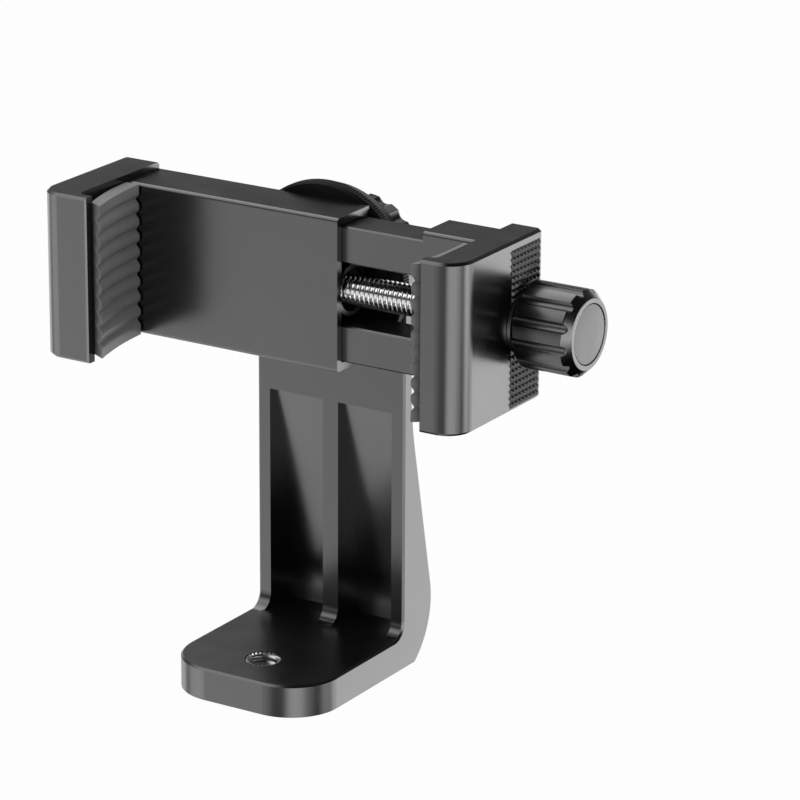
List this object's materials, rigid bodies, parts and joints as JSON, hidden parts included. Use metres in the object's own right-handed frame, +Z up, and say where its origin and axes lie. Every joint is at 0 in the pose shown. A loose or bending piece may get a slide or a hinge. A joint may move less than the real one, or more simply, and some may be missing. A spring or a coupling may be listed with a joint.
{
  "type": "phone mount",
  "caption": "Phone mount: a screw clamp with soft pads turns on a disc carried by an L bracket with a tripod thread.",
  "frame": {"origin": "mouth of the tripod thread, in the underside of the foot", "axes": "+X along the clamp from the fixed jaw to the knob, +Y from the phone side to the rear, +Z up"},
  "size_m": [0.1049, 0.0466, 0.0942],
  "materials": {
    "black_plastic": "satin moulded",
    "pad_rubber": "matte",
    "bright_steel": "polished",
    "nickel": "nickel plated",
    "plain_steel": "zinc plated",
    "cap_plastic": "fine grain",
    "nylon": "smooth"
  },
  "bodies": {
    "bracket": {"bracket": "black_plastic", "tripod_insert": "nickel"},
    "head": {"clamp_body": "black_plastic", "nut_insert": "nickel", "fixed_pad": "pad_rubber", "turntable_disc": "black_plastic", "disc_screws": "plain_steel", "friction_washer": "nylon", "pivot_bolt": "plain_steel"},
    "arm": {"arm": "black_plastic", "moving_pad": "pad_rubber"},
    "clamp_knob": {"clamp_knob": "black_plastic", "knob_cap": "cap_plastic", "clamp_screw": "bright_steel", "retaining_clip": "plain_steel", "knob_washer": "plain_steel"},
    "rear_knob": {"rear_knob": "black_plastic", "rear_nut": "plain_steel", "rear_washer": "plain_steel", "spring_washer": "plain_steel"}
  },
  "joints": [
    {"name": "head_turn", "type": "hinge", "parent": "bracket", "child": "head", "pos_m": [0, 0.023, 0.0766], "axis": [0, 1, 0], "continuous": true},
    {"name": "arm_slide", "type": "slide", "parent": "head", "child": "arm", "axis": [1, 0, 0], "range_m": [-0.0168, 0.0088]},
    {"name": "clamp_knob_spin", "type": "hinge", "parent": "arm", "child": "clamp_knob", "pos_m": [0.047, 0.0147, 0.0766], "axis": [1, 0, 0], "range_deg": [-6060, 3180]},
    {"name": "rear_knob_spin", "type": "hinge", "parent": "head", "child": "rear_knob", "pos_m": [0, 0.028, 0.0766], "axis": [0, 1, 0], "range_deg": [0, 360]}
  ],
  "couplings": [
    {"joint": "clamp_knob_spin", "follows": "arm_slide", "rad_per_m": 6283.2}
  ]
}
